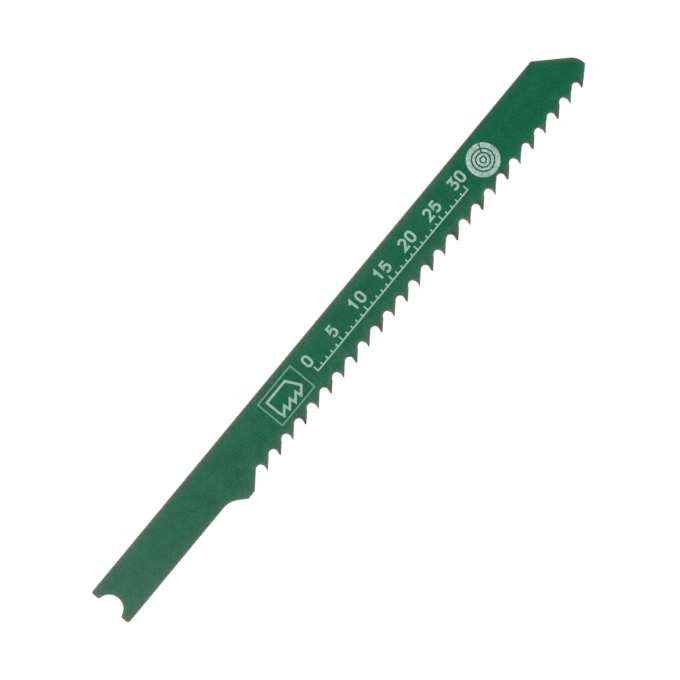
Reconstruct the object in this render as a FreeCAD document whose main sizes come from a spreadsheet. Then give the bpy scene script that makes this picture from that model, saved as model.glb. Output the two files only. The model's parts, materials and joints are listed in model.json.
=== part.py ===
import FreeCAD, Part
import math
import os
import Sketcher

# A jigsaw blade with a flat notched shank. It is one piece of steel: a thin strip whose lower edge is
# milled into saw teeth, and the teeth are then bent about their roots, to one side and the other in turn.
#
# The origin is the centre of the clamp notch, halfway through the strip. X runs from the shank to the
# point, Y from the teeth to the spine, and Z out of the printed face. Lengths are in millimetres and
# angles in degrees. Depths are measured from the spine, and stations from the shank's end face.

NODE = "saw_blade"

# Each size: its name in the sheet, its value and what it is.
SIZES = (
    ("blade_thickness", 1.0, "Thickness of the strip"),
    ("overall_length", 92.2, "Shank's end face to the nose"),
    ("shank_width", 6.1, "Width of the shank"),
    ("shank_straight", 18.85, "Station where the shoulder's curve begins"),
    ("notch_radius", 1.8, "Radius of the clamp notch"),
    ("notch_outset", 0.15, "How far the notch's centre lies outside the end face"),
    ("lip_radius", 0.25, "Rounding where the notch meets the end face"),
    ("spine_corner_radius", 0.25, "Rounding between the end face and the spine"),
    ("lower_corner_radius", 0.4, "Rounding between the end face and the shank's lower edge"),
    ("shoulder_radius", 2.85, "Radius of the curve from the shank into the shoulder"),
    ("shoulder_angle", 43.0, "Slope of the shoulder"),
    ("shoulder_drop", 1.69, "How far the heel lies below the shank's lower edge"),
    ("heel_length", 3.3, "Least distance from the shoulder's end to the first gullet's centre"),
    ("tip_angle", 44.4, "Slope from the spine down to the nose"),
    ("nose_radius", 2.4, "Radius of the nose"),
    ("nose_flat", 0.3, "From the nose's furthest point down to the end cut"),
    ("nose_corner_radius", 0.2, "Rounding between the nose and the end cut"),
    ("end_cut_ease", 3.6, "How much flatter the end cut is than the teeth's backs"),
    ("last_tooth_trim", 0.14, "How much the end cut takes off the last tooth's tip"),
    ("edge_radius", 0.1, "Rounding of the strip's long edges"),
    ("tooth_pitch", 2.54, "Distance from tooth to tooth"),
    ("last_gullet_inset", 3.07, "From the nose back to the last gullet's centre"),
    ("gullet_rise", 1.79, "How far the tops of the gullets lie above the heel"),
    ("gullet_radius", 0.66, "Radius of the bottom of each gullet"),
    ("hook_angle", 18.0, "How far each cutting face leans back from square"),
    ("clearance_angle", 36.6, "Slope of each tooth's back"),
    ("set_angle", 9.0, "How far each tooth is bent to its side"),
)

# Each worked size: its name, its formula and what it is.
WORKED = (
    ("half_width", "Sizes.shank_width / 2", "Notch centre to the spine"),
    ("heel_depth", "Sizes.shank_width + Sizes.shoulder_drop", "Depth of the heel, before the first gullet"),
    ("gullet_top", "Worked.heel_depth - Sizes.gullet_rise", "Depth of the tops of the gullets"),
    ("gullet_depth", "Worked.gullet_top + Sizes.gullet_radius", "Depth of the gullets' centres"),
    ("mill_depth", "Worked.heel_depth + Sizes.gullet_radius", "Depth to which the gullets are milled"),
    ("bend_depth", "Worked.gullet_top + Sizes.gullet_radius / 2", "Depth of the line the teeth bend about"),
    ("mitre", "Sizes.blade_thickness / 2 * tan(Sizes.set_angle * 0.5deg)", "Half the width of the bend"),
    ("root_depth", "Worked.bend_depth + Worked.mitre", "Depth of the flat strip where it meets the teeth"),
    (
        "curve_fall",
        "Sizes.shoulder_radius * (1 - cos(Sizes.shoulder_angle * 1deg))",
        "Fall of the shoulder's curve",
    ),
    ("curve_run", "Sizes.shoulder_radius * sin(Sizes.shoulder_angle * 1deg)", "Run of the shoulder's curve"),
    (
        "slope_run",
        "(Sizes.shoulder_drop - Worked.curve_fall) / tan(Sizes.shoulder_angle * 1deg)",
        "Run of the shoulder's slope",
    ),
    ("heel_start", "Sizes.shank_straight + Worked.curve_run + Worked.slope_run", "Station of the heel"),
    ("last_gullet", "Sizes.overall_length - Sizes.last_gullet_inset", "Station of the last gullet's centre"),
    ("tooth_room", "Worked.last_gullet - Worked.heel_start - Sizes.heel_length", "Room for the gullets"),
    ("tooth_count", "floor(Worked.tooth_room / Sizes.tooth_pitch) + 1", "How many gullets and teeth fit"),
    (
        "first_gullet",
        "Worked.last_gullet - (Worked.tooth_count - 1) * Sizes.tooth_pitch",
        "Station of the first gullet's centre",
    ),
    ("gullet_x", "Sizes.notch_outset + Worked.first_gullet", "Notch centre to the first gullet's centre"),
    ("set_every", "Sizes.tooth_pitch * 2", "Distance between teeth bent to the same side"),
    ("raised_count", "ceil(Worked.tooth_count / 2)", "How many teeth are bent towards the printed face"),
    ("lowered_count", "floor(Worked.tooth_count / 2)", "How many teeth are bent the other way"),
    ("wedge", "90 - Sizes.hook_angle - Sizes.clearance_angle", "Angle of steel at a tooth's tip"),
    (
        "face_length",
        "(Sizes.tooth_pitch * sin(Sizes.clearance_angle * 1deg) - "
        "Sizes.gullet_radius * (1 + cos(Worked.wedge * 1deg))) / sin(Worked.wedge * 1deg)",
        "Length of a cutting face, from the gullet's round bottom to the tip",
    ),
    (
        "tip_depth",
        "Worked.gullet_depth + Sizes.gullet_radius * sin(Sizes.hook_angle * 1deg) + "
        "Worked.face_length * cos(Sizes.hook_angle * 1deg)",
        "Depth of a tooth's tip before it is bent",
    ),
    (
        "tip_run",
        "Sizes.gullet_radius * cos(Sizes.hook_angle * 1deg) - "
        "Worked.face_length * sin(Sizes.hook_angle * 1deg)",
        "A gullet's centre to the next tip along X",
    ),
    ("nose_x", "Sizes.notch_outset + Sizes.overall_length", "Notch centre to the nose"),
    ("end_cut_angle", "Sizes.clearance_angle - Sizes.end_cut_ease", "Slope of the end cut"),
    (
        "end_cut_fall",
        "(Sizes.last_gullet_inset - Worked.tip_run) * tan(Worked.end_cut_angle * 1deg)",
        "Fall of the end cut, from the nose to the last tip",
    ),
    (
        "end_cut_depth",
        "Worked.tip_depth - Sizes.last_tooth_trim - Worked.end_cut_fall",
        "Depth where the end cut meets the nose",
    ),
    ("nose_depth", "Worked.end_cut_depth - Sizes.nose_flat", "Depth of the nose's furthest point"),
)

START, END, CENTRE = 1, 2, 3
ORIGIN = (-1, 1)


def point(x, y):
    return FreeCAD.Vector(x, y, 0)


def on_circle(centre, radius, degrees):
    """The point of a circle at this angle from X."""
    turn = math.radians(degrees)
    return centre + point(radius * math.cos(turn), radius * math.sin(turn))


def crossing(first, first_degrees, second, second_degrees):
    """Where two lines meet, each given by a point and its angle from X."""
    a = point(math.cos(math.radians(first_degrees)), math.sin(math.radians(first_degrees)))
    b = point(math.cos(math.radians(second_degrees)), math.sin(math.radians(second_degrees)))
    gap = second - first
    reach = (gap.x * b.y - gap.y * b.x) / (a.x * b.y - a.y * b.x)
    return first + a * reach


class Profile:
    """A sketch drawn at its true sizes, whose dimensions are bound to the sheet."""

    def __init__(self, body, name, tilt=None):
        self.sketch = body.newObject("Sketcher::SketchObject", name)
        plane = next(f for f in body.Origin.OriginFeatures if f.Role == "XY_Plane")
        self.sketch.AttachmentSupport = [(plane, "")]
        self.sketch.MapMode = "FlatFace"
        if tilt:
            axis = FreeCAD.Vector(1, 0, 0)
            self.sketch.AttachmentOffset = FreeCAD.Placement(FreeCAD.Vector(), FreeCAD.Rotation(axis, 1))
            self.sketch.setExpression("AttachmentOffset.Rotation.Angle", tilt)
            self.sketch.setExpression("AttachmentOffset.Base.y", "Worked.half_width - Worked.bend_depth")

    def line(self, start, end):
        return self.sketch.addGeometry(Part.LineSegment(start, end), False)

    def arc(self, centre, radius, first_degrees, last_degrees):
        """An arc drawn counterclockwise."""
        circle = Part.Circle(centre, FreeCAD.Vector(0, 0, 1), radius)
        piece = Part.ArcOfCircle(circle, math.radians(first_degrees), math.radians(last_degrees))
        return self.sketch.addGeometry(piece, False)

    def guide_circle(self, centre, radius):
        """A circle that is not part of the outline."""
        return self.sketch.addGeometry(Part.Circle(centre, FreeCAD.Vector(0, 0, 1), radius), True)

    def rule(self, kind, *where):
        """A constraint with no size."""
        return self.sketch.addConstraint(Sketcher.Constraint(kind, *where))

    def size(self, kind, formula, value, *where):
        """A dimension bound to the sheet. value is what it measures as drawn."""
        index = self.sketch.addConstraint(Sketcher.Constraint(kind, *where, value))
        name = f"size_{index}"
        self.sketch.renameConstraint(index, name)
        self.sketch.setExpression(f"Constraints.{name}", formula)

    def angle(self, formula, degrees, *where):
        """An angle bound to the sheet."""
        self.size("Angle", f"({formula}) * 1deg", math.radians(degrees), *where)


def make_sheet(doc):
    """The driving sizes, one to a row, and those worked out from them."""
    sheet = doc.addObject("Spreadsheet::Sheet", "Sizes")
    for row, (alias, value, meaning) in enumerate(SIZES, start=1):
        sheet.set(f"A{row}", meaning)
        sheet.set(f"B{row}", str(value))
        sheet.setAlias(f"B{row}", alias)
    doc.recompute()
    worked = doc.addObject("App::VarSet", "Worked")
    for name, formula, meaning in WORKED:
        worked.addProperty("App::PropertyFloat", name, "Worked", meaning)
        worked.setExpression(name, formula)
    doc.recompute()
    return sheet, worked


def draw_outline(body, s, w):
    """The flat strip from shank to nose, down to where the teeth are bent, with the heel below it."""
    profile = Profile(body, "Outline")
    end_x = s.notch_outset
    spine_y = w.half_width
    heel_y = spine_y - w.heel_depth
    root_y = spine_y - w.root_depth

    end_top = point(end_x, spine_y)
    end_low = point(end_x, -spine_y)
    curve_start = point(end_x + s.shank_straight, -spine_y)
    curve_centre = curve_start - point(0, s.shoulder_radius)
    curve_end = on_circle(curve_centre, s.shoulder_radius, 90 - s.shoulder_angle)
    heel_start = crossing(curve_end, -s.shoulder_angle, point(0, heel_y), 0)
    heel_end = point(w.gullet_x, heel_y)
    root_start = point(w.gullet_x, root_y)
    nose_centre = point(w.nose_x - s.nose_radius, spine_y - w.nose_depth)
    nose = point(w.nose_x, nose_centre.y)
    nose_corner = point(w.nose_x, spine_y - w.end_cut_depth)
    root_end = crossing(nose_corner, w.end_cut_angle, root_start, 0)
    tip_end = on_circle(nose_centre, s.nose_radius, 90 - s.tip_angle)
    tip_start = crossing(tip_end, -s.tip_angle, end_top, 0)

    end_face = profile.line(end_low, end_top)
    spine = profile.line(end_top, tip_start)
    tip = profile.line(tip_start, tip_end)
    nose_arc = profile.arc(nose_centre, s.nose_radius, 0, 90 - s.tip_angle)
    nose_flat = profile.line(nose, nose_corner)
    end_cut = profile.line(root_end, nose_corner)
    root = profile.line(root_start, root_end)
    heel_side = profile.line(heel_end, root_start)
    heel = profile.line(heel_start, heel_end)
    shoulder = profile.line(curve_end, heel_start)
    curve = profile.arc(curve_centre, s.shoulder_radius, 90 - s.shoulder_angle, 90)
    shank = profile.line(end_low, curve_start)

    profile.rule("Coincident", end_face, END, spine, START)
    profile.rule("Coincident", spine, END, tip, START)
    profile.rule("Tangent", tip, END, nose_arc, END)
    profile.rule("Tangent", nose_arc, START, nose_flat, START)
    profile.rule("Coincident", nose_flat, END, end_cut, END)
    profile.rule("Coincident", end_cut, START, root, END)
    profile.rule("Coincident", root, START, heel_side, END)
    profile.rule("Coincident", heel_side, START, heel, END)
    profile.rule("Coincident", heel, START, shoulder, END)
    profile.rule("Tangent", shoulder, START, curve, START)
    profile.rule("Tangent", curve, END, shank, END)
    profile.rule("Coincident", shank, START, end_face, START)
    for level in (spine, root, heel, shank):
        profile.rule("Horizontal", level)
    for upright in (end_face, nose_flat, heel_side):
        profile.rule("Vertical", upright)

    profile.size("DistanceX", "Sizes.notch_outset", end_x, *ORIGIN, end_face, END)
    profile.size("DistanceY", "Worked.half_width", spine_y, *ORIGIN, end_face, END)
    profile.size("DistanceY", "Sizes.shank_width", s.shank_width, end_face, START, end_face, END)
    profile.size("DistanceX", "Sizes.shank_straight", s.shank_straight, shank, START, shank, END)
    profile.size("Radius", "Sizes.shoulder_radius", s.shoulder_radius, curve)
    profile.angle("-Sizes.shoulder_angle", -s.shoulder_angle, shoulder)
    profile.size("DistanceY", "Worked.heel_depth", w.heel_depth, heel, START, spine, START)
    profile.size("DistanceX", "Worked.first_gullet", w.first_gullet, end_face, END, heel, END)
    profile.size("DistanceY", "Worked.root_depth", w.root_depth, root, START, spine, START)
    profile.size("DistanceX", "Sizes.overall_length", s.overall_length, end_face, END, nose_flat, START)
    profile.size("DistanceY", "Worked.nose_depth", w.nose_depth, nose_flat, START, spine, START)
    profile.size("DistanceY", "Worked.end_cut_depth", w.end_cut_depth, nose_flat, END, spine, START)
    profile.size("Radius", "Sizes.nose_radius", s.nose_radius, nose_arc)
    profile.angle("-Sizes.tip_angle", -s.tip_angle, tip)
    profile.angle("Worked.end_cut_angle", w.end_cut_angle, end_cut)
    return profile.sketch


def draw_notch(body, s):
    """The clamp notch, a circle about the origin."""
    profile = Profile(body, "NotchCircle")
    circle = Part.Circle(point(0, 0), FreeCAD.Vector(0, 0, 1), s.notch_radius)
    notch = profile.sketch.addGeometry(circle, False)
    profile.rule("Coincident", notch, CENTRE, *ORIGIN)
    profile.size("Radius", "Sizes.notch_radius", s.notch_radius, notch)
    return profile.sketch


def draw_gullet(body, s, w):
    """The first gullet: the back of the tooth before it, its round bottom and the next cutting face."""
    profile = Profile(body, "GulletProfile")
    back = s.clearance_angle
    face = 90 - s.hook_angle
    centre = point(w.gullet_x, w.half_width - w.gullet_depth)
    low = point(0, w.half_width - w.mill_depth)
    back_top = on_circle(centre, s.gullet_radius, 90 + back)
    face_top = on_circle(centre, s.gullet_radius, -s.hook_angle)
    back_low = crossing(back_top, back, low, 0)
    face_low = crossing(face_top, face, low, 0)

    bottom = profile.arc(centre, s.gullet_radius, -s.hook_angle, 90 + back)
    back_line = profile.line(back_low, back_top)
    face_line = profile.line(face_low, face_top)
    low_line = profile.line(back_low, face_low)

    profile.rule("Tangent", back_line, END, bottom, END)
    profile.rule("Tangent", face_line, END, bottom, START)
    profile.rule("Coincident", low_line, START, back_line, START)
    profile.rule("Coincident", low_line, END, face_line, START)
    profile.rule("Horizontal", low_line)
    profile.size("Radius", "Sizes.gullet_radius", s.gullet_radius, bottom)
    profile.size("DistanceX", "Worked.gullet_x", w.gullet_x, *ORIGIN, bottom, CENTRE)
    profile.size("DistanceY", "Worked.gullet_depth - Worked.half_width", -centre.y, bottom, CENTRE, *ORIGIN)
    profile.size("DistanceY", "Worked.mill_depth - Worked.half_width", -low.y, low_line, START, *ORIGIN)
    profile.angle("Sizes.clearance_angle", back, back_line)
    profile.angle("90 - Sizes.hook_angle", face, face_line)
    return profile.sketch


def draw_tooth(body, s, w, name, tilt, place, gullet_x):
    """One tooth on its own tilted plane, whose origin is the bend line at the notch's station.

    tilt is the formula for the plane's turn about the bend line, place the formula for gullet_x, the
    station of the gullet before the tooth."""
    profile = Profile(body, name, tilt)
    radius = s.gullet_radius
    back = s.clearance_angle
    face = 90 - s.hook_angle
    centre = point(gullet_x, -radius / 2)
    next_centre = centre + point(s.tooth_pitch, 0)
    top = point(0, w.mitre)
    rise = math.degrees(math.asin((w.mitre + radius / 2) / radius))
    top_left = on_circle(centre, radius, rise)
    face_top = on_circle(centre, radius, -s.hook_angle)
    back_touch = on_circle(next_centre, radius, 90 + back)
    top_right = crossing(back_touch, back, top, 0)
    tip = crossing(back_touch, back, face_top, face)

    bottom = profile.arc(centre, radius, -s.hook_angle, rise)
    top_line = profile.line(top_left, top_right)
    back_line = profile.line(tip, top_right)
    face_line = profile.line(tip, face_top)
    next_gullet = profile.guide_circle(next_centre, radius)

    profile.rule("Tangent", face_line, END, bottom, START)
    profile.rule("Coincident", bottom, END, top_line, START)
    profile.rule("Coincident", top_line, END, back_line, END)
    profile.rule("Coincident", back_line, START, face_line, START)
    profile.rule("Horizontal", top_line)
    profile.rule("Tangent", back_line, next_gullet)
    profile.rule("Equal", bottom, next_gullet)
    profile.rule("Horizontal", bottom, CENTRE, next_gullet, CENTRE)
    profile.size("Radius", "Sizes.gullet_radius", radius, bottom)
    profile.size("DistanceX", place, gullet_x, *ORIGIN, bottom, CENTRE)
    profile.size("DistanceY", "Sizes.gullet_radius / 2", radius / 2, bottom, CENTRE, *ORIGIN)
    profile.size("DistanceX", "Sizes.tooth_pitch", s.tooth_pitch, bottom, CENTRE, next_gullet, CENTRE)
    profile.size("DistanceY", "Worked.mitre", w.mitre, *ORIGIN, top_line, START)
    profile.angle("Sizes.clearance_angle", back, back_line)
    profile.angle("90 - Sizes.hook_angle", face, face_line)
    return profile.sketch


def draw_end_cut(body, s, w):
    """What the end cut takes off the last tooth, in line with the strip's own end."""
    profile = Profile(body, "EndCutProfile")
    corner = point(w.nose_x, w.half_width - w.end_cut_depth)
    low = point(w.nose_x, w.half_width - w.mill_depth)
    far = crossing(corner, w.end_cut_angle, low, 0)

    slope = profile.line(far, corner)
    side = profile.line(low, corner)
    base = profile.line(far, low)

    profile.rule("Coincident", slope, END, side, END)
    profile.rule("Coincident", side, START, base, END)
    profile.rule("Coincident", base, START, slope, START)
    profile.rule("Vertical", side)
    profile.rule("Horizontal", base)
    profile.size("DistanceX", "Worked.nose_x", w.nose_x, *ORIGIN, side, END)
    profile.size("DistanceY", "Worked.end_cut_depth - Worked.half_width", -corner.y, side, END, *ORIGIN)
    profile.size("DistanceY", "Worked.mill_depth - Worked.half_width", -low.y, side, START, *ORIGIN)
    profile.angle("Worked.end_cut_angle", w.end_cut_angle, slope)
    return profile.sketch


def pad(body, name, sketch):
    """The sketch made solid to the strip's thickness, half on each side of its plane."""
    before = volume_so_far(body)
    feature = body.newObject("PartDesign::Pad", name)
    feature.Profile = sketch
    feature.SideType = "Symmetric"
    feature.setExpression("Length", "Sizes.blade_thickness")
    return settle(body, feature, before, grows=True)


def pocket(body, name, sketch):
    """The sketch cut through everything, on both sides of its plane."""
    before = volume_so_far(body)
    feature = body.newObject("PartDesign::Pocket", name)
    feature.Profile = sketch
    feature.SideType = "Symmetric"
    feature.Type = "ThroughAll"
    return settle(body, feature, before, grows=False)


def row(body, name, original, spacing, count):
    """Copies of a feature along X."""
    before = volume_so_far(body)
    feature = body.newObject("PartDesign::LinearPattern", name)
    feature.Originals = [original]
    feature.Direction = (next(f for f in body.Origin.OriginFeatures if f.Role == "X_Axis"), [""])
    feature.Mode = "Spacing"
    feature.setExpression("Offset", spacing)
    feature.setExpression("Occurrences", count)
    return settle(body, feature, before, grows=original.TypeId == "PartDesign::Pad")


def rounding(body, name, radius, chosen):
    """A fillet on the edges of the body so far that pass the test."""
    base = body.Tip
    before = base.Shape.Volume
    edges = [f"Edge{i}" for i, edge in enumerate(base.Shape.Edges, start=1) if chosen(edge)]
    feature = body.newObject("PartDesign::Fillet", name)
    feature.Base = (base, edges)
    feature.setExpression("Radius", radius)
    return settle(body, feature, before, grows=None)


def volume_so_far(body):
    return body.Tip.Shape.Volume if body.Tip else 0


def settle(body, feature, before, grows):
    """Makes the feature the body's tip and confirms that it added or removed material."""
    body.Tip = feature
    body.Document.recompute()
    if "Invalid" in feature.State or "Error" in feature.State or feature.Shape.isNull():
        raise RuntimeError(f"{feature.Label} could not be made")
    change = feature.Shape.Volume - before
    if grows is not None and (change > 0) != grows:
        raise RuntimeError(f"{feature.Label} changed the volume by {change:.4f}")
    if change == 0:
        raise RuntimeError(f"{feature.Label} changed nothing")
    return feature


def stands_at(*places):
    """A test for edges along Z that stand at one of these points of the blade's plane."""

    def chosen(edge):
        low, high = edge.BoundBox.ZMin, edge.BoundBox.ZMax
        middle = point(edge.CenterOfMass.x, edge.CenterOfMass.y)
        upright = edge.BoundBox.DiagonalLength - (high - low) < 1e-6
        return upright and any(middle.distanceToPoint(place) < 1e-4 for place in places)

    return chosen


def is_rim(s, w):
    """A test for the flat strip's rims, apart from those where the teeth are milled."""
    milled_y = w.half_width - w.end_cut_depth

    def chosen(edge):
        middle = edge.CenterOfMass
        level = edge.BoundBox.ZLength < 1e-6 and abs(abs(middle.z) - s.blade_thickness / 2) < 1e-6
        return level and not (middle.x > w.gullet_x - 1e-6 and middle.y < milled_y)

    return chosen


def make_blade(doc, s, w):
    """The whole blade as one body."""
    body = doc.addObject("PartDesign::Body", NODE)
    body.Label = NODE
    body.Placement = FreeCAD.Placement()
    end_x = s.notch_outset
    lip_y = math.sqrt(s.notch_radius**2 - s.notch_outset**2)

    pad(body, "Strip", draw_outline(body, s, w))
    pocket(body, "Notch", draw_notch(body, s))
    lips = stands_at(point(end_x, lip_y), point(end_x, -lip_y))
    rounding(body, "Lips", "Sizes.lip_radius", lips)
    rounding(body, "SpineCorner", "Sizes.spine_corner_radius", stands_at(point(end_x, w.half_width)))
    rounding(body, "LowerCorner", "Sizes.lower_corner_radius", stands_at(point(end_x, -w.half_width)))
    nose_corner = point(w.nose_x, w.half_width - w.end_cut_depth)
    rounding(body, "NoseCorner", "Sizes.nose_corner_radius", stands_at(nose_corner))
    rounding(body, "Rims", "Sizes.edge_radius", is_rim(s, w))

    gullet = pocket(body, "Gullet", draw_gullet(body, s, w))
    row(body, "Gullets", gullet, "Sizes.tooth_pitch", "Worked.tooth_count")

    raised_sketch = draw_tooth(
        body, s, w, "RaisedToothProfile", "-Sizes.set_angle * 1deg", "Worked.gullet_x", w.gullet_x
    )
    raised = pad(body, "RaisedTooth", raised_sketch)
    row(body, "RaisedTeeth", raised, "Worked.set_every", "Worked.raised_count")
    second = "Worked.gullet_x + Sizes.tooth_pitch"
    lowered_sketch = draw_tooth(
        body, s, w, "LoweredToothProfile", "Sizes.set_angle * 1deg", second, w.gullet_x + s.tooth_pitch
    )
    lowered = pad(body, "LoweredTooth", lowered_sketch)
    row(body, "LoweredTeeth", lowered, "Worked.set_every", "Worked.lowered_count")
    pocket(body, "EndCut", draw_end_cut(body, s, w))
    return body


def check(doc, body):
    """Stops if anything in the document failed, or the blade isn't one sound solid."""
    for item in doc.Objects:
        if "Invalid" in item.State or "Error" in item.State:
            raise RuntimeError(f"{item.Label} failed: {item.State}")
    shape = body.Shape
    if shape.isNull() or not shape.isValid() or len(shape.Solids) != 1:
        raise RuntimeError(f"{body.Label} is not one valid solid")


def main():
    os.makedirs("parts", exist_ok=True)
    doc = FreeCAD.newDocument("JigsawBlade")
    sizes, worked = make_sheet(doc)
    blade = make_blade(doc, sizes, worked)
    doc.recompute()
    check(doc, blade)
    box = blade.Shape.BoundBox
    blade.Shape.exportStep(f"parts/{blade.Label}.step")
    print(f"{blade.Label}: {box.XLength:.3f} x {box.YLength:.3f} x {box.ZLength:.3f} mm")
    print(f"volume {blade.Shape.Volume:.2f} mm3, {len(blade.Shape.Faces)} faces")


main()
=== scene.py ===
"""Looks of a green-lacquered jigsaw blade, laid on a white studio floor.

The solid blade is kept as it comes from the frame. Its lacquer, with the wear along every edge, a painted
highlight at the rims, painted sheen specks, painted shade beside the bent-away teeth's cutting faces and the
bare teeth, is one procedural material. The print on the face is thin raised ink: a framed picture of a saw
strip, a millimetre scale and a round mark with growth rings.
"""
import json
import math

import bmesh
import bpy
from mathutils import Matrix, Vector


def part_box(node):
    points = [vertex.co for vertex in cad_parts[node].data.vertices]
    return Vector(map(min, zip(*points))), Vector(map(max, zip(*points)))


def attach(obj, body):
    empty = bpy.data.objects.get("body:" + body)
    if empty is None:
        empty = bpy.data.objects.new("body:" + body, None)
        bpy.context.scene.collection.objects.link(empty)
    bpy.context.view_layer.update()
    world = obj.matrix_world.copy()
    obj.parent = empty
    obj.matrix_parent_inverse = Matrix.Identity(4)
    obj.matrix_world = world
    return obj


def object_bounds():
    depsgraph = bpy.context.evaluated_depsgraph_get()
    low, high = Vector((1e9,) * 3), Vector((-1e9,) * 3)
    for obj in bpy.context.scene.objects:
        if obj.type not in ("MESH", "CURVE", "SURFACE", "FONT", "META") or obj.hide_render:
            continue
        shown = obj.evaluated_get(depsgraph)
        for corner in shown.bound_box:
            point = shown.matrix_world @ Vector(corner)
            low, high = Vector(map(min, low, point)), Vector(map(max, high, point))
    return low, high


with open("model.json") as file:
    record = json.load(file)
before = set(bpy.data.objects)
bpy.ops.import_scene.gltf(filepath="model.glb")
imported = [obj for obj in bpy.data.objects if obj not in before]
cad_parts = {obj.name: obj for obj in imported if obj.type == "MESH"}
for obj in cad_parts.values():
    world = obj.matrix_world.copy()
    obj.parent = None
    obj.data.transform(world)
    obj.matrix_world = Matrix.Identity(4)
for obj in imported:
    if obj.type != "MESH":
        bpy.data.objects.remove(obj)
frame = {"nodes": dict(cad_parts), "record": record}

bl_info = {
    "name": "Jigsaw Blade Finish",
    "version": (1, 0, 0),
    "blender": (4, 5, 0),
    "location": "View3D > Sidebar > Jigsaw Blade",
    "description": "Lacquers, wears and prints a jigsaw blade, and sets it in a plain studio",
    "category": "Object",
}

MM = 0.001
BLADE = "saw_blade"
CAD_BOX = [list(corner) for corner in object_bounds()]
BLADE_LOW, BLADE_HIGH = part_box(BLADE)


def size(label, description, millimetres):
    """A length property, written in millimetres and kept in metres."""
    return bpy.props.FloatProperty(
        name=label, description=description, default=millimetres * MM, unit="LENGTH", precision=5)


def angle(label, description, degrees):
    """An angle property, written in degrees."""
    return bpy.props.FloatProperty(
        name=label, description=description, default=math.radians(degrees), subtype="ANGLE")


def share(label, description, value):
    """A plain number property."""
    return bpy.props.FloatProperty(name=label, description=description, default=value, subtype="FACTOR")


def colour(label, description, value):
    """A colour property."""
    return bpy.props.FloatVectorProperty(
        name=label, description=description, default=value, size=3, min=0.0, max=1.0, subtype="COLOR")


class BladeShape(bpy.types.PropertyGroup):
    """Where the blade's edges run, so that the wear can follow them."""

    shank_edge: size("Shank edge", "Height of the shank's lower edge", -3.05)
    slope_start: size("Slope start", "Where the shank's lower edge would meet the slope to the heel", 20.12)
    slope_angle: angle("Slope angle", "Fall of the slope from the shank to the heel", 43.0)
    shoulder_ease: size("Shoulder ease", "How widely the shank's edge rounds into the slope", 1.27)
    heel_edge: size("Heel edge", "Height of the heel's lower edge", -4.74)
    notch_radius: size("Notch radius", "Radius of the clamp notch round the origin", 1.8)
    first_gullet: size("First gullet", "Place of the first gullet along the blade", 25.78)
    gullet_height: size("Gullet height", "Height of the gullets' centres", -3.61)
    gullet_radius: size("Gullet radius", "Radius of each gullet", 0.66)
    tooth_pitch: size("Tooth pitch", "From one gullet to the next", 2.54)
    gullet_count: bpy.props.IntProperty(name="Gullets", description="Number of gullets", default=26, min=2)
    hook_angle: angle("Hook angle", "Lean of each tooth's cutting face", 18.0)
    clearance_angle: angle("Clearance angle", "Slope of each tooth's back", 36.6)
    tip_depth: size("Tip height", "Height of the tooth tips", -4.33)
    point_slope: angle("Point slope", "Slope from the spine down to the nose", 44.4)
    nose_centre_x: size("Nose centre along", "Place of the nose's centre along the blade", 89.95)
    nose_centre_y: size("Nose centre height", "Height of the nose's centre", -2.20)
    nose_radius: size("Nose radius", "Radius of the rounded nose", 2.4)
    nose_ease: size("Nose ease", "How widely the point's slope rounds into the nose", 1.22)
    end_cut_height: size("End cut height", "Height at which the cut below the nose starts", -2.5)
    end_cut_angle: angle("End cut angle", "Rise of the cut below the nose", 33.0)


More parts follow.
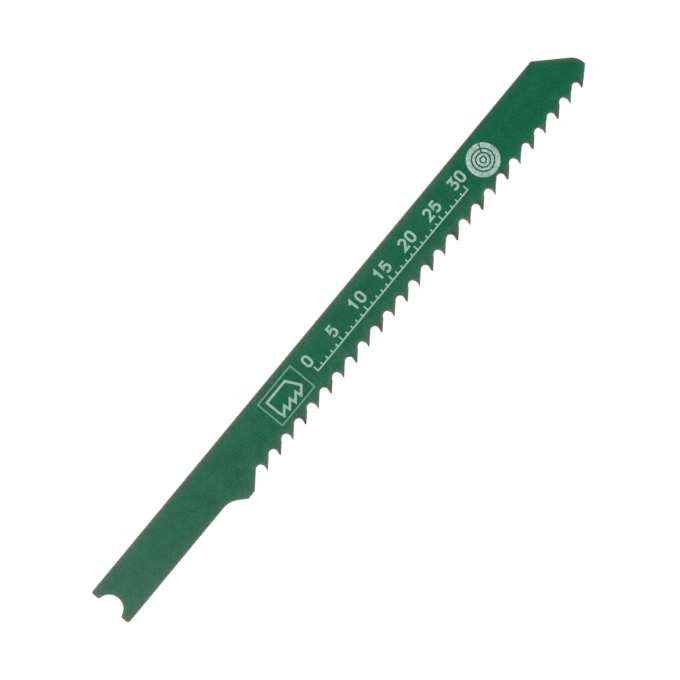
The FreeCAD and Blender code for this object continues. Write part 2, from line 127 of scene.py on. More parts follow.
class LacquerFinish(bpy.types.PropertyGroup):
    """Colours and wear of the lacquered steel, with its painted highlight at the rims and painted shade
    beside the teeth.
    """

    lacquer: colour("Lacquer", "Colour of the sound lacquer", (0.0015, 0.124, 0.055))
    worn: colour("Worn lacquer", "Colour where the lacquer is rubbed thin", (0.122, 0.158, 0.126))
    # Partly painted highlight: a pale rim colour standing in for light caught by the rounded rims, and partly
    # worn lacquer.
    rim: colour("Rim", "Colour right at the rims", (0.228, 0.312, 0.257))
    tooth: colour("Tooth faces", "Colour of the thin lacquer on the teeth", (0.122, 0.162, 0.120))
    # Painted shade: the dark streaks beside the cutting faces of the bent-away teeth stand in for the shade
    # on those faces.
    grime: colour("Grime", "Colour of the dark streaks beside the cutting faces", (0.020, 0.035, 0.022))
    steel: colour("Steel", "Colour of bare, oxidised steel", (0.070, 0.075, 0.058))
    wear_reach: size("Wear reach", "How far the wear fades in from an edge", 0.33)
    edge_wear: share("Edge wear", "How much lacquer is gone right at an edge", 0.75)
    rim_reach: size("Rim reach", "Width of the bright rim", 0.11)
    rim_wear: share("Rim wear", "How bright the rim is", 0.5)
    pit_reach: size("Pit reach", "How far from an edge the dark pits lie", 0.6)
    pit_wear: share("Pit wear", "How dark the pits are", 0.7)
    clamp_full: size("Clamp full", "Place up to which the clamp has rubbed the shank", 9.0)
    clamp_end: size("Clamp end", "Place where the clamp's marks end", 17.0)
    clamp_reach: size("Clamp reach", "How far the clamp's marks fade in from an edge", 0.9)
    clamp_wear: share("Clamp wear", "How much lacquer the clamp has rubbed off", 0.12)
    prong_reach: size("Prong reach", "How far the wear of the shank's end reaches", 0.4)
    prong_wear: share("Prong wear", "How much lacquer is gone at the shank's end", 0.4)
    fresh_start: size("Fresh start", "Place where the wear begins to ease towards the point", 66.0)
    fresh_full: size("Fresh full", "Place from which the blade is least worn", 79.0)
    slope_start: size("Slope start", "Place where the rubbed band of the point's slope begins", 84.0)
    slope_full: size("Slope full", "Place from which that band is full", 87.0)
    slope_reach: size("Slope reach", "Width of the band along the point's slope", 0.38)
    slope_wear: share("Slope wear", "How much lacquer is gone in that band", 0.2)
    # Reach of a lighter green band along the spine.
    pool_reach: size("Pool reach", "How far the lacquer is thicker beside the spine", 1.2)
    low_start: size("Low start", "Height below which the lacquer above the teeth grows lighter", -1.4)
    low_full: size("Low full", "Height at which it is lightest", -3.0)
    lacquer_roughness: share("Lacquer roughness", "Roughness of the satin lacquer", 0.2)
    steel_roughness: share("Steel roughness", "Roughness of the bare steel", 0.48)


class PrintMarks(bpy.types.PropertyGroup):
    """Sizes, places and colours of the ink on the face."""

    ink: colour("Ink", "Colour of the ink", (0.365, 0.585, 0.485))
    frame_ink: colour("Frame ink", "Colour of the frame's thinner ink", (0.125, 0.333, 0.228))
    ring_ink: colour("Ring ink", "Colour of the round mark's ink", (0.55, 0.70, 0.65))
    ring_shade: colour("Faded ring ink", "Colour where the round mark's ink is thin", (0.21, 0.35, 0.32))
    ink_shade: colour("Faded ink", "Colour where the ink is thin", (0.21, 0.39, 0.30))
    ink_height: size("Ink height", "How far the ink stands off the face", 0.012)
    ink_sink: size("Ink sink", "How far the ink reaches into the lacquer", 0.003)
    frame_left: size("Frame left", "Left side of the printed frame", 31.72)
    frame_right: size("Frame right", "Right side of the printed frame", 38.36)
    frame_top: size("Frame top", "Top of the printed frame", 2.05)
    frame_foot: size("Frame foot", "Foot of the printed frame", -2.24)
    frame_line: size("Frame line", "Width of the frame's line", 0.2)
    figure_line: size("Figure line", "Width of the lines inside the frame", 0.32)
    scale_start: size("Scale start", "Place of the scale's zero", 40.1)
    scale_foot: size("Scale foot", "Height of the scale's base line", -1.3)
    scale_length: bpy.props.IntProperty(
        name="Scale length", description="Length of the scale in millimetres", default=30, min=5)
    tick_line: size("Tick line", "Width of the scale's ticks", 0.2)
    digit_line: size("Digit line", "Width of the numbers' strokes", 0.32)
    digit_height: size("Digit height", "Height of the numbers", 1.4)
    ring_centre_x: size("Ring centre along", "Place of the round mark along the blade", 74.33)
    ring_centre_y: size("Ring centre height", "Height of the round mark's centre", -0.29)
    ring_radius: size("Ring radius", "Outer radius of the round mark", 2.24)
    ring_gap: size("Ring gap", "Width of the dark lines in the round mark", 0.2)


class Studio(bpy.types.PropertyGroup):
    """Camera, lamps and floor."""

    lens: bpy.props.FloatProperty(
        name="Lens", description="Focal length", default=208.31, subtype="DISTANCE_CAMERA")
    camera_distance: size("Camera distance", "From the camera to the blade's middle", 500.0)
    aim_x: size("Aim along", "Point looked at, along the blade", 44.86)
    aim_y: size("Aim height", "Point looked at, across the blade", -0.846)
    aim_z: size("Aim depth", "Point looked at, out of the face", 0.6)
    lean_x: angle("Lean along", "Lean of the view towards the shank", 4.439)
    lean_y: angle("Lean across", "Lean of the view towards the spine", 1.166)
    roll: angle("Roll", "Turn of the picture", -50.353)
    floor_glow: share("Floor glow", "How much of the floor's white is its own", 0.88)
    floor_white: share("Floor white", "How much light the floor throws back", 0.25)


SETTINGS = {
    "blade_shape": BladeShape,
    "lacquer_finish": LacquerFinish,
    "print_marks": PrintMarks,
    "blade_studio": Studio,
}


class Amount:
    """A number that a material works out at each point, used with ordinary arithmetic."""

    def __init__(self, tree, socket):
        self.tree = tree
        self.socket = socket

    def worked(self, operation, *others):
        """One Math node on this amount and the others, each an amount or a plain number."""
        node = self.tree.nodes.new("ShaderNodeMath")
        node.operation = operation
        for place, value in zip(node.inputs, (self, *others)):
            feed(self.tree, place, value)
        return Amount(self.tree, node.outputs[0])

    def __add__(self, other):
        return self.worked("ADD", other)

    def __sub__(self, other):
        return self.worked("SUBTRACT", other)

    def __rsub__(self, other):
        return self.worked("MULTIPLY", -1.0).worked("ADD", other)

    def __mul__(self, other):
        return self.worked("MULTIPLY", other)

    def __truediv__(self, other):
        return self.worked("DIVIDE", other)

    def least(self, *others):
        """The smallest of this amount and the others."""
        result = self
        for other in others:
            result = result.worked("MINIMUM", other)
        return result

    def most(self, *others):
        """The largest of this amount and the others."""
        result = self
        for other in others:
            result = result.worked("MAXIMUM", other)
        return result

    def ramp(self, start, end):
        """0 at start, 1 at end, and a soft S between them."""
        node = self.tree.nodes.new("ShaderNodeMapRange")
        node.interpolation_type = "SMOOTHSTEP"
        feed(self.tree, node.inputs["Value"], self)
        node.inputs["From Min"].default_value = start
        node.inputs["From Max"].default_value = end
        return Amount(self.tree, node.outputs["Result"])


def feed(tree, socket, value):
    """Links an amount to a socket, or writes a plain value into it."""
    if isinstance(value, Amount):
        tree.links.new(value.socket, socket)
    else:
        socket.default_value = value


def blended(tree, amount, first, second):
    """The colour first where amount is 0, and second where it is 1."""
    node = tree.nodes.new("ShaderNodeMix")
    node.data_type = "RGBA"
    feed(tree, node.inputs["Factor"], amount)
    for place, value in ((node.inputs[6], first), (node.inputs[7], second)):
        if isinstance(value, bpy.types.NodeSocket):
            tree.links.new(value, place)
        else:
            place.default_value = (*value, 1.0)
    return node.outputs[2]


def grain(tree, place, scale, detail=2.0):
    """Noise about 0.5, with scale features to the metre."""
    node = tree.nodes.new("ShaderNodeTexNoise")
    node.inputs["Scale"].default_value = scale
    node.inputs["Detail"].default_value = detail
    node.inputs["Roughness"].default_value = 0.55
    tree.links.new(place, node.inputs["Vector"])
    return Amount(tree, node.outputs["Fac"])


def new_material(name):
    """An empty material with one Principled shader: (material, node tree, shader, object coordinates)."""
    material = bpy.data.materials.new(name)
    material.use_nodes = True
    tree = material.node_tree
    tree.nodes.clear()
    output = tree.nodes.new("ShaderNodeOutputMaterial")
    shader = tree.nodes.new("ShaderNodeBsdfPrincipled")
    tree.links.new(shader.outputs["BSDF"], output.inputs["Surface"])
    where = tree.nodes.new("ShaderNodeTexCoord")
    return material, tree, shader, where


def separated(tree, vector):
    """The three parts of a vector, as amounts."""
    node = tree.nodes.new("ShaderNodeSeparateXYZ")
    tree.links.new(vector, node.inputs[0])
    return [Amount(tree, socket) for socket in node.outputs]


def bumped(tree, shader, height, distance, strength):
    """Raises the shader's surface by an amount of height."""
    node = tree.nodes.new("ShaderNodeBump")
    node.inputs["Distance"].default_value = distance
    node.inputs["Strength"].default_value = strength
    tree.links.new(height.socket, node.inputs["Height"])
    tree.links.new(node.outputs["Normal"], shader.inputs["Normal"])


def gullet_distance(shape, along, below):
    """How far a point lies from one gullet and the gap under it, measured from the gullet's centre."""
    hook, clearance = shape.hook_angle, shape.clearance_angle
    circle = (along * along + below * below).worked("SQRT") - shape.gullet_radius
    face = along * math.cos(hook) + below * math.sin(hook) - shape.gullet_radius
    back = along * -math.sin(clearance) - below * math.cos(clearance) - shape.gullet_radius
    chord_along = math.cos(hook) - math.sin(clearance)
    chord_below = math.sin(hook) - math.cos(clearance)
    chord_length = math.hypot(chord_along, chord_below)
    reach = shape.gullet_radius * (chord_along * math.cos(hook) + chord_below * math.sin(hook)) / chord_length
    chord = along * (chord_along / chord_length) + below * (chord_below / chord_length) - reach
    return circle.least(face.most(back, chord))


def edge_distance(shape, x, y):
    """How far a point of the face lies from the nearest edge of the blade's outline.

    The gullets and the notch count as further off and the heel as nearer, which sets how worn each one is."""
    gullet_share, notch_share, heel_share = 1.3, 1.4, 0.8
    spine = BLADE_HIGH.y - y
    end = x - BLADE_LOW.x
    notch = (x * x + y * y).worked("SQRT") - shape.notch_radius
    shank = y - shape.shank_edge
    slope = (x - shape.slope_start) * math.sin(shape.slope_angle) + shank * math.cos(shape.slope_angle)
    shoulder = shank.worked("SMOOTH_MAX", slope, shape.shoulder_ease)
    heel = y - shape.heel_edge

    last_pair = shape.gullet_count - 2
    number = ((x - shape.first_gullet) / shape.tooth_pitch).worked("FLOOR").most(0.0).least(last_pair)
    along = x - shape.first_gullet - number * shape.tooth_pitch
    below = shape.gullet_height - y
    next_along = along - shape.tooth_pitch
    gullets = gullet_distance(shape, along, below).least(gullet_distance(shape, next_along, below))

    nose_x = x - shape.nose_centre_x
    nose_y = y - shape.nose_centre_y
    tilt = shape.point_slope
    point = shape.nose_radius - nose_x * math.sin(tilt) - nose_y * math.cos(tilt)
    nose = (shape.nose_radius - nose_x).worked("SMOOTH_MIN", point, shape.nose_ease)
    cut = ((BLADE_HIGH.x - x) * math.sin(shape.end_cut_angle)
           + (y - shape.end_cut_height) * math.cos(shape.end_cut_angle))
    return spine.least(
        end, notch * notch_share, shoulder, heel * heel_share, gullets * gullet_share, nose, cut)


class Noise:
    """The three grains that break up the lacquer and its wear, from broad to fine."""

    def __init__(self, tree, place):
        self.clouds = grain(tree, place, 420.0)
        self.patches = grain(tree, place, 1100.0, detail=3.0)
        self.specks = grain(tree, place, 3800.0)


def fading(distance, reach):
    """1 at an edge, falling off steeply over the reach."""
    return (distance / -reach).worked("EXPONENT")


def banded(distance, reach):
    """1 at an edge and beside it, falling off beyond the reach."""
    return (distance * distance / (-reach * reach)).worked("EXPONENT")


def chance(number):
    """A random amount from 0 to 1 for each whole number."""
    node = number.tree.nodes.new("ShaderNodeTexWhiteNoise")
    node.noise_dimensions = "1D"
    feed(number.tree, node.inputs["W"], number)
    return Amount(number.tree, node.outputs["Value"])


def above_teeth(finish, x, y):
    """The part of the face just above the teeth and on the heel."""
    heel_start, heel_full = 20.5 * MM, 22.5 * MM
    return y.ramp(finish.low_start, finish.low_full) * x.ramp(heel_start, heel_full)


def worn_edges(shape, finish, x, y, noise):
    """How far the lacquer is rubbed thin, with painted sheen specks, how bright the painted highlight and
    wear at the rim are, and how dark the pits are.
    """
    inset = edge_distance(shape, x, y).most(0.0)
    fresh = x.ramp(finish.fresh_start, finish.fresh_full)
    handled = 1.0 - fresh * 0.6
    below_spine = y.ramp(2.95 * MM, 2.35 * MM)
    above_nose = y.ramp(-3.2 * MM, -2.4 * MM)

    uneven = noise.patches * 0.6 + noise.specks.ramp(0.32, 0.68) * 0.7 + 0.4
    edges = fading(inset * (fresh * 0.5 + 1.0), finish.wear_reach) * uneven * (1.0 - fresh * 0.3)
    clamped = x.ramp(finish.clamp_end, finish.clamp_full) * fading(inset, finish.clamp_reach)
    # The specks term here is painted sheen: grey flecks standing in for uneven gloss on the lacquer; the rest
    # is a faint rubbed dullness.
    haze_and_sheen_specks = (noise.patches * 0.1 + noise.clouds * 0.1 + noise.specks * 0.3 - 0.22).most(0.0)
    haze_and_sheen_specks = (haze_and_sheen_specks + above_teeth(finish, x, y) * 0.05) * handled
    slope = x.ramp(finish.slope_start, finish.slope_full) * below_spine * above_nose
    slope = slope * banded(inset, finish.slope_reach)
    prongs = fading(x - BLADE_LOW.x, finish.prong_reach)

    # The rubbed amount carries those painted sheen specks along with the real wear.
    rubbed = edges * finish.edge_wear + clamped * finish.clamp_wear + haze_and_sheen_specks
    rubbed = (rubbed + slope * finish.slope_wear + prongs * finish.prong_wear).least(1.0)
    # Painted highlight and wear at the rims: a pale band mixed in right beside every edge.
    rim = banded(inset, finish.rim_reach) * handled * finish.rim_wear
    pits = noise.specks.ramp(0.46, 0.34) * fading(inset, finish.pit_reach) * finish.pit_wear
    return rubbed, rim, pits


def worn_teeth(shape, x, y, facing, noise):
    """How thin the lacquer of the teeth is, how bare their steel is, what is milled, and where painted shade
    darkens the bent-away teeth beside their cutting faces.
    """
    place = (x - shape.first_gullet) / shape.tooth_pitch
    number = place.worked("FLOOR")
    lowered = (number / 2.0).worked("FRACT") * 2.0
    luck = chance(number)

    root = shape.gullet_height + shape.gullet_radius
    toothed = x.ramp(shape.first_gullet - 0.6 * MM, shape.first_gullet)
    in_teeth = toothed * y.ramp(root + 0.1 * MM, root - 0.5 * MM)
    toward_tip = (root - y) / (root - shape.tip_depth)
    thin = toward_tip * 0.75 + noise.patches * 0.5 + luck * 0.3 + lowered * 0.12 - 0.3
    thin = (in_teeth * thin).most(0.0).least(1.0)
    # The bent-down teeth get more bare steel: partly bare milled steel, partly painted shade on those teeth.
    bare = toward_tip * 1.6 + noise.patches * 0.9 + luck * 0.5 + lowered * 0.3 - 1.75
    bare = (in_teeth * bare).most(0.0).least(1.0)
    milled = in_teeth * facing.ramp(0.6, 0.2)

    behind_face = place.worked("FRACT") * shape.tooth_pitch
    beside_face = behind_face.ramp(1.3 * MM, 0.7 * MM)
    root_band = y.ramp(root + 0.3 * MM, root - 0.25 * MM) * y.ramp(root - 1.0 * MM, root - 0.4 * MM)
    # Painted shade on the bent-away teeth, beside their cutting faces.
    streaks = beside_face * root_band * toothed * lowered
    streaks = streaks * (luck * 0.4 + noise.specks.ramp(0.58, 0.42) * 0.25)
    return thin, bare, milled, streaks


def lacquer_material(shape, finish):
    """Green lacquer on steel, rubbed thin along every edge with a painted highlight at the rims, and worn to
    dark steel on the teeth with painted shade beside the bent-away teeth's cutting faces.
    """
    material, tree, shader, where = new_material("satin_green_lacquer")
    place = where.outputs["Object"]
    x, y = separated(tree, place)[:2]
    facing = separated(tree, where.outputs["Normal"])[2].worked("ABSOLUTE")
    noise = Noise(tree, place)
    rubbed, rim, pits = worn_edges(shape, finish, x, y, noise)
    thin, bare, milled, streaks = worn_teeth(shape, x, y, facing, noise)

    # The green is made lighter in a band beside the spine and just above the teeth.
    lighter_bands = fading(BLADE_HIGH.y - y, finish.pool_reach) * 0.16 + above_teeth(finish, x, y) * 0.12
    mottle = noise.clouds * 0.5 + noise.patches * 0.5 + (noise.specks - 0.5) * 1.05 + lighter_bands - 0.01
    contrast = 0.4
    dark = tuple(part * (1.0 - contrast) for part in finish.lacquer)
    light = tuple(part * (1.0 + contrast) for part in finish.lacquer)
    coat = blended(tree, mottle, dark, light)
    coat = blended(tree, rubbed, coat, finish.worn)
    # Painted highlight and wear at the rims.
    coat = blended(tree, rim, coat, finish.rim)
    coat = blended(tree, pits, coat, finish.steel)
    coat = blended(tree, thin, coat, finish.tooth)
    # Painted shade beside the cutting faces of the bent-away teeth.
    coat = blended(tree, streaks, coat, finish.grime)
    coat = blended(tree, bare.most(milled * 0.85), coat, finish.steel)
    tree.links.new(coat, shader.inputs["Base Color"])

    steel = bare.most(milled)
    roughness = rubbed * 0.12 + noise.patches * 0.06 + (finish.lacquer_roughness - 0.03)
    roughness = roughness + steel * (finish.steel_roughness - finish.lacquer_roughness)
    feed(tree, shader.inputs["Roughness"], roughness)
    feed(tree, shader.inputs["Metallic"], steel * 0.2)
    bumped(tree, shader, noise.specks + noise.patches * 0.6, 0.006 * MM, 0.5)
    return material


def ink_material(name, full, faded, uneven=1.7, wear=0.28):
    """Thin pale printing ink between a full and a faded colour, uneven and rubbed by some amount."""
    material, tree, shader, where = new_material(name)
    place = where.outputs["Object"]
    speckle = grain(tree, place, 5200.0)
    patches = grain(tree, place, 700.0)
    thin = ((speckle - 0.5) * uneven + (patches - 0.5) * 0.9 + wear).most(0.0).least(1.0)
    tree.links.new(blended(tree, thin, full, faded), shader.inputs["Base Color"])
    feed(tree, shader.inputs["Roughness"], speckle * 0.2 + 0.45)
    bumped(tree, shader, speckle, 0.004 * MM, 0.5)
    return material


def arc(centre_x, centre_y, radius, start, end, steps=10):
    """Points along an arc, from start to end degrees."""
    turns = [math.radians(start + (end - start) * step / steps) for step in range(steps + 1)]
    return [(centre_x + radius * math.cos(turn), centre_y + radius * math.sin(turn)) for turn in turns]


def sides_of(points, width, closed):
    """The two sides of a line of some width along the points, with mitred corners."""
    half = width / 2
    sharpest = 0.4
    left, right = [], []
    count = len(points)
    for index, point in enumerate(points):
        here = Vector(point)
        before = Vector(points[index - 1]) if closed or index > 0 else None
        after = Vector(points[(index + 1) % count]) if closed or index < count - 1 else None
        into = (here - before).normalized() if before else (after - here).normalized()
        away = (after - here).normalized() if after else into
        across = Vector((-into.y - away.y, into.x + away.x)).normalized()
        reach = half / max(across.dot(Vector((-into.y, into.x))), sharpest)
        left.append(here + across * reach)
        right.append(here - across * reach)
    return left, right


class Ink:
    """Flat ink of even thickness, gathered into one closed mesh."""

    def __init__(self, marks):
        self.mesh = bmesh.new()
        self.low = face_height() - marks.ink_sink
        self.high = face_height() + marks.ink_height

    def column(self, point):
        """The two corners of the ink below and above one point."""
        return [self.mesh.verts.new((point[0], point[1], level)) for level in (self.low, self.high)]

    def band(self, left, right, closed):
        """Ink between two lines of as many points each."""
        columns = [(self.column(a), self.column(b)) for a, b in zip(left, right)]
        spans = list(zip(columns, columns[1:]))
        if closed:
            spans.append((columns[-1], columns[0]))
        for (left_a, right_a), (left_b, right_b) in spans:
            self.mesh.faces.new((left_a[1], right_a[1], right_b[1], left_b[1]))
            self.mesh.faces.new((left_a[0], left_b[0], right_b[0], right_a[0]))
            self.mesh.faces.new((left_a[0], left_a[1], left_b[1], left_b[0]))
            self.mesh.faces.new((right_a[0], right_b[0], right_b[1], right_a[1]))
        if not closed:
            for left_end, right_end in (columns[0], columns[-1]):
                self.mesh.faces.new((left_end[0], right_end[0], right_end[1], left_end[1]))

    def line(self, points, width, closed=False):
        """A line of ink along the points."""
        left, right = sides_of(points, width, closed)
        self.band(left, right, closed)

    def patch(self, outline):
        """A filled patch of ink."""
        columns = [self.column(point) for point in outline]
        self.mesh.faces.new([column[1] for column in columns])
        self.mesh.faces.new([column[0] for column in reversed(columns)])
        for first, second in zip(columns, columns[1:] + columns[:1]):
            self.mesh.faces.new((first[0], second[0], second[1], first[1]))

    def piece(self, name, material):
        """Makes the gathered ink into a piece that rides on the blade's body."""
        bmesh.ops.recalc_face_normals(self.mesh, faces=self.mesh.faces)
        data = bpy.data.meshes.new(name)
        self.mesh.to_mesh(data)
        self.mesh.free()
        data.materials.append(material)
        piece = bpy.data.objects.new(name, data)
        bpy.context.scene.collection.objects.link(piece)
        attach(piece, "root")


def face_height():
    """Height of the flat printed face: half the strip's thickness."""
    mounts = {mount["name"]: mount for mount in frame["record"]["mounts"]}
    return mounts["shank_front_face"]["pos_m"][2]


def print_frame(marks):
    """The printed frame, in a thin line."""
    ink = Ink(marks)
    half = marks.frame_line / 2
    left, right = marks.frame_left + half, marks.frame_right - half
    foot, top = marks.frame_foot + half, marks.frame_top - half
    ink.line([(left, foot), (right, foot), (right, top), (left, top)], marks.frame_line, closed=True)
    ink.piece("printed_frame", ink_material("frame_ink", marks.frame_ink, marks.ink_shade))


def print_figure(marks):
    """A small picture of a toothed strip inside the frame."""
    ink = Ink(marks)
    side_room, top_room, foot_room = 1.05 * MM, 0.82 * MM, 0.72 * MM
    tooth_height = 0.83 * MM
    slant = 0.95 * MM
    teeth = 4
    tooth_lean = 0.12
    strip_left = marks.frame_left + side_room
    strip_right = marks.frame_right - side_room
    strip_top = marks.frame_top - top_room
    tip = marks.frame_foot + foot_room
    root = tip + tooth_height
    pitch = (strip_right - strip_left) / teeth
    outline = [(strip_left, strip_top), (strip_right - slant, strip_top), (strip_right, root)]
    for number in reversed(range(teeth)):
        tooth_left = strip_left + pitch * number
        outline.append((tooth_left + pitch * tooth_lean, tip))
        outline.append((tooth_left, root))
    ink.line(outline, marks.figure_line, closed=True)
    ink.piece("printed_figure", ink_material("figure_ink", marks.ink, marks.ink_shade))


def digit_strokes(digit, wide, high):
    """The centre line of a digit, 0 to 3 or 5, from its lower left corner: a list of (points, closed)."""
    bowl = wide / 2
    if digit == "0":
        return [(arc(bowl, high - bowl, bowl, 0, 180) + arc(bowl, bowl, bowl, 180, 360), True)]
    if digit == "1":
        return [([(wide * 0.1, high * 0.76), (wide * 0.55, high), (wide * 0.55, 0.0)], False)]
    if digit == "2":
        return [(arc(bowl, high - bowl, bowl, 165, -35) + [(0.0, 0.0), (wide, 0.0)], False)]
    if digit == "3":
        belly = high * 0.31
        top = [(0.0, high), (wide * 0.95, high), (wide * 0.4, high * 0.6)]
        return [(top + arc(wide - belly, belly, belly, 75, -145), False)]
    belly = high * 0.32
    top = [(wide * 0.95, high), (wide * 0.12, high), (wide * 0.05, high * 0.54)]
    return [(top + arc(wide - belly, belly, belly, 115, -145), False)]


def print_scale(marks):
    """A plain millimetre scale with a number at every fifth tick."""
    ink = Ink(marks)
    long_tick, short_tick = 0.75 * MM, 0.45 * MM
    numbered = 5
    half = marks.tick_line / 2
    foot = marks.scale_foot + half
    end = marks.scale_start + marks.scale_length * MM
    ink.line([(marks.scale_start - half, foot), (end + half, foot)], marks.tick_line)
    for millimetre in range(marks.scale_length + 1):
        x = marks.scale_start + millimetre * MM
        reach = long_tick if millimetre % numbered == 0 else short_tick
        ink.line([(x, foot + half), (x, foot + reach)], marks.tick_line)

    digit_aspect = 0.6
    digit_gap, digit_rise = 0.52 * MM, 1.15 * MM
    wide = marks.digit_height * digit_aspect
    step = wide + digit_gap
    digit_foot = foot + digit_rise
    for number in range(0, marks.scale_length + 1, numbered):
        digits = str(number)
        left = marks.scale_start + number * MM - (len(digits) * step - digit_gap) / 2
        for place, digit in enumerate(digits):
            for points, closed in digit_strokes(digit, wide, marks.digit_height):
                moved = [(left + place * step + a, digit_foot + b) for a, b in points]
                ink.line(moved, marks.digit_line, closed)
    ink.piece("printed_scale", ink_material("scale_ink", marks.ink, marks.ink_shade))


def print_rings(marks):
    """A round mark like the end of a log: uneven growth rings and one drying crack."""
    ink = Ink(marks)
    steps, heart_steps = 72, 24
    crack_turn = math.radians(55.0)
    heart, ring_width = 0.3 * MM, 0.34 * MM
    rings = 3
    wave, twist = 0.03, 900.0

    def ring_point(radius, turn):
        """A point of a ring, whose wave dies out towards the rim."""
        swing = math.sin(3 * turn + twist * radius) * (1.0 - radius / marks.ring_radius)
        radius = radius * (1.0 + wave * swing)
        return (marks.ring_centre_x + radius * math.cos(turn), marks.ring_centre_y + radius * math.sin(turn))

    ink.patch([ring_point(heart, 2 * math.pi * step / heart_steps) for step in range(heart_steps)])
    inner = heart
    for ring in range(rings):
        inner += marks.ring_gap
        outer = inner + ring_width if ring < rings - 1 else marks.ring_radius
        cracked = ring > 0
        spare = marks.ring_gap / 2 if cracked else 0.0
        count = steps if cracked else steps - 1
        sides = []
        for radius in (inner, outer):
            start = crack_turn + spare / radius
            span = 2 * math.pi - 2 * spare / radius
            sides.append([ring_point(radius, start + span * step / steps) for step in range(count + 1)])
        ink.band(sides[0], sides[1], closed=not cracked)
        inner = outer
    ring_ink = ink_material("ring_ink", marks.ring_ink, marks.ring_shade, uneven=4.0, wear=0.52)
    ink.piece("printed_rings", ring_ink)


def turned(side, head, away, place):
    """A matrix from three axes and a place."""
    rows = [(side[i], head[i], away[i], place[i]) for i in range(3)]
    return Matrix((*rows, (0.0, 0.0, 0.0, 1.0)))


def add_camera(studio):
    """The camera of the photograph: almost straight down, with the blade running up to the right."""
    lean_x, lean_y = studio.lean_x, studio.lean_y
    away = Vector((
        -math.sin(lean_x) * math.cos(lean_y),
        math.sin(lean_y),
        math.cos(lean_x) * math.cos(lean_y),
    ))
    right = (-away).cross(Vector((0.0, 1.0, 0.0))).normalized()
    up = right.cross(-away)
    side = right * math.cos(studio.roll) + up * math.sin(studio.roll)
    head = up * math.cos(studio.roll) - right * math.sin(studio.roll)
    data = bpy.data.cameras.new("camera")
    data.lens = studio.lens
    data.clip_start = 0.01
    camera = bpy.data.objects.new("camera", data)
    bpy.context.scene.collection.objects.link(camera)
    aim = Vector((studio.aim_x, studio.aim_y, studio.aim_z))
    camera.matrix_world = turned(side, head, away, aim + away * studio.camera_distance)
    bpy.context.scene.camera = camera


def add_softbox(name, azimuth, elevation, wide, high, watts):
    """A soft lamp that faces the blade's middle, unseen by the camera."""
    distance = 1.1
    turn, rise = math.radians(azimuth), math.radians(elevation)
    away = Vector((math.cos(rise) * math.cos(turn), math.cos(rise) * math.sin(turn), math.sin(rise)))
    data = bpy.data.lights.new(name, "AREA")
    data.shape = "RECTANGLE"
    data.size = wide
    data.size_y = high
    data.energy = watts
    lamp = bpy.data.objects.new(name, data)
    bpy.context.scene.collection.objects.link(lamp)
    middle = Vector(((BLADE_LOW.x + BLADE_HIGH.x) / 2, 0.0, 0.0))
    lamp.location = middle + away * distance
    lamp.rotation_euler = away.to_track_quat("Z", "Y").to_euler()
    lamp.visible_camera = False


def white_material(name, studio, faded):
    """A floor that looks white but keeps soft shadows near the blade, or an even white wall."""
    material = bpy.data.materials.new(name)
    material.use_nodes = True
    tree = material.node_tree
    tree.nodes.clear()
    output = tree.nodes.new("ShaderNodeOutputMaterial")
    rays = tree.nodes.new("ShaderNodeLightPath")
    seen = Amount(tree, rays.outputs["Is Camera Ray"]).most(
        Amount(tree, rays.outputs["Is Glossy Ray"]), Amount(tree, rays.outputs["Is Transmission Ray"]))
    chalk = tree.nodes.new("ShaderNodeBsdfDiffuse")
    chalk.inputs["Color"].default_value = (studio.floor_white,) * 3 + (1.0,)
    glow = tree.nodes.new("ShaderNodeEmission")
    both = tree.nodes.new("ShaderNodeAddShader")
    tree.links.new(chalk.outputs[0], both.inputs[0])
    tree.links.new(glow.outputs[0], both.inputs[1])
    tree.links.new(both.outputs[0], output.inputs["Surface"])
    if faded:
        where = tree.nodes.new("ShaderNodeTexCoord")
        x, y = separated(tree, where.outputs["Object"])[:2]
        near, far = 0.25, 0.7
        spread = (x * x + y * y).worked("SQRT").ramp(near, far)
        feed(tree, glow.inputs["Strength"], seen * (spread * (1.0 - studio.floor_glow) + studio.floor_glow))
    else:
        feed(tree, glow.inputs["Strength"], seen)
    return material


def add_stage_mesh(name, points, faces, material):
    """A plain mesh that belongs to the stage."""
    data = bpy.data.meshes.new(name)
    data.from_pydata(points, [], faces)
    data.materials.append(material)
    piece = bpy.data.objects.new(name, data)
    bpy.context.scene.collection.objects.link(piece)


def add_floor_and_wall(studio):
    """A wide floor under the blade and a low white wall all round it."""
    level = CAD_BOX[0][2]
    radius, wall_foot, wall_top = 3.0, -0.5, 1.2
    sides = 48
    turns = [2 * math.pi * side / sides for side in range(sides)]
    ring = [(radius * math.cos(turn), radius * math.sin(turn)) for turn in turns]
    add_stage_mesh("floor", [(x, y, level) for x, y in ring], [list(range(sides))],
                   white_material("floor_white", studio, faded=True))
    foot = [(x, y, level + wall_foot) for x, y in ring]
    top = [(x, y, level + wall_top) for x, y in ring]
    walls = [(side, (side + 1) % sides, sides + (side + 1) % sides, sides + side) for side in range(sides)]
    add_stage_mesh("wall", foot + top, walls, white_material("wall_white", studio, faded=False))


def light_studio():
    """Two large softboxes at the sides, two dim ones above and a little grey light all round."""
    add_softbox("softbox_spine_side", azimuth=75.0, elevation=40.0, wide=0.9, high=0.6, watts=11.0)
    add_softbox("softbox_tooth_side", azimuth=-105.0, elevation=36.0, wide=0.9, high=0.6, watts=6.5)
    add_softbox("softbox_overhead", azimuth=180.0, elevation=77.0, wide=0.5, high=0.4, watts=1.1)
    add_softbox("softbox_point_end", azimuth=0.0, elevation=85.0, wide=0.5, high=0.16, watts=0.07)
    world = bpy.context.scene.world or bpy.data.worlds.new("world")
    bpy.context.scene.world = world
    world.use_nodes = True
    background = world.node_tree.nodes["Background"]
    background.inputs["Color"].default_value = (1.0, 1.0, 1.0, 1.0)
    background.inputs["Strength"].default_value = 0.06


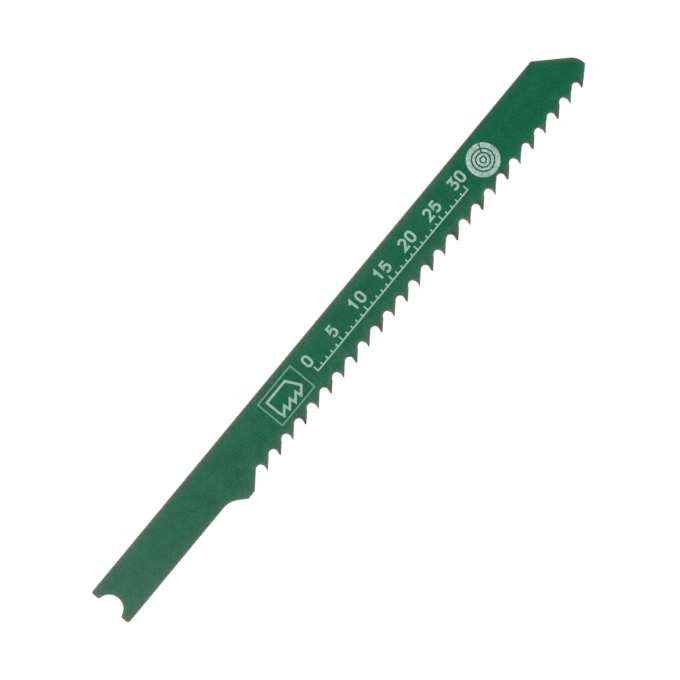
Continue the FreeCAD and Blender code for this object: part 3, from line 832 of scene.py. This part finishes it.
class BLADE_OT_finish_steel(bpy.types.Operator):
    """Lacquers the blade and wears its edges and teeth"""

    bl_idname = "blade.finish_steel"
    bl_label = "Lacquered Blade"
    bl_options = {"REGISTER", "UNDO"}

    def execute(self, context):
        scene = context.scene
        material = lacquer_material(scene.blade_shape, scene.lacquer_finish)
        for slot in frame["nodes"][BLADE].material_slots:
            slot.material = material
        return {"FINISHED"}


class BLADE_OT_print_frame(bpy.types.Operator):
    """Prints the frame"""

    bl_idname = "blade.print_frame"
    bl_label = "Printed Frame"
    bl_options = {"REGISTER", "UNDO"}

    def execute(self, context):
        print_frame(context.scene.print_marks)
        return {"FINISHED"}


class BLADE_OT_print_figure(bpy.types.Operator):
    """Prints the toothed strip inside the frame"""

    bl_idname = "blade.print_figure"
    bl_label = "Printed Figure"
    bl_options = {"REGISTER", "UNDO"}

    def execute(self, context):
        print_figure(context.scene.print_marks)
        return {"FINISHED"}


class BLADE_OT_print_scale(bpy.types.Operator):
    """Prints the millimetre scale"""

    bl_idname = "blade.print_scale"
    bl_label = "Printed Scale"
    bl_options = {"REGISTER", "UNDO"}

    def execute(self, context):
        print_scale(context.scene.print_marks)
        return {"FINISHED"}


class BLADE_OT_print_rings(bpy.types.Operator):
    """Prints the round mark with growth rings"""

    bl_idname = "blade.print_rings"
    bl_label = "Printed Rings"
    bl_options = {"REGISTER", "UNDO"}

    def execute(self, context):
        print_rings(context.scene.print_marks)
        return {"FINISHED"}


class BLADE_OT_stage(bpy.types.Operator):
    """Sets up the floor, the wall, the lamps and the camera"""

    bl_idname = "blade.stage"
    bl_label = "Studio"
    bl_options = {"REGISTER", "UNDO"}

    def execute(self, context):
        studio = context.scene.blade_studio
        add_floor_and_wall(studio)
        light_studio()
        add_camera(studio)
        context.scene.view_settings.view_transform = "Standard"
        return {"FINISHED"}


OPERATORS = (
    BLADE_OT_finish_steel,
    BLADE_OT_print_frame,
    BLADE_OT_print_figure,
    BLADE_OT_print_scale,
    BLADE_OT_print_rings,
    BLADE_OT_stage,
)


class BLADE_PT_sidebar(bpy.types.Panel):
    """The blade's steps and settings"""

    bl_idname = "BLADE_PT_sidebar"
    bl_label = "Jigsaw Blade"
    bl_space_type = "VIEW_3D"
    bl_region_type = "UI"
    bl_category = "Jigsaw Blade"

    def draw(self, context):
        for operator in OPERATORS:
            self.layout.operator(operator.bl_idname)
        for name, group in SETTINGS.items():
            box = self.layout.box()
            for key in group.__annotations__:
                box.prop(getattr(context.scene, name), key)


CLASSES = (*SETTINGS.values(), *OPERATORS, BLADE_PT_sidebar)


def register():
    for item in CLASSES:
        bpy.utils.register_class(item)
    for name, group in SETTINGS.items():
        setattr(bpy.types.Scene, name, bpy.props.PointerProperty(type=group))


def unregister():
    for name in SETTINGS:
        delattr(bpy.types.Scene, name)
    for item in reversed(CLASSES):
        bpy.utils.unregister_class(item)


def main():
    """Builds the looks in order."""
    register()
    bpy.ops.blade.finish_steel()
    bpy.ops.blade.print_frame()
    bpy.ops.blade.print_figure()
    bpy.ops.blade.print_scale()
    bpy.ops.blade.print_rings()
    bpy.ops.blade.stage()


if __name__ == "__main__":
    main()
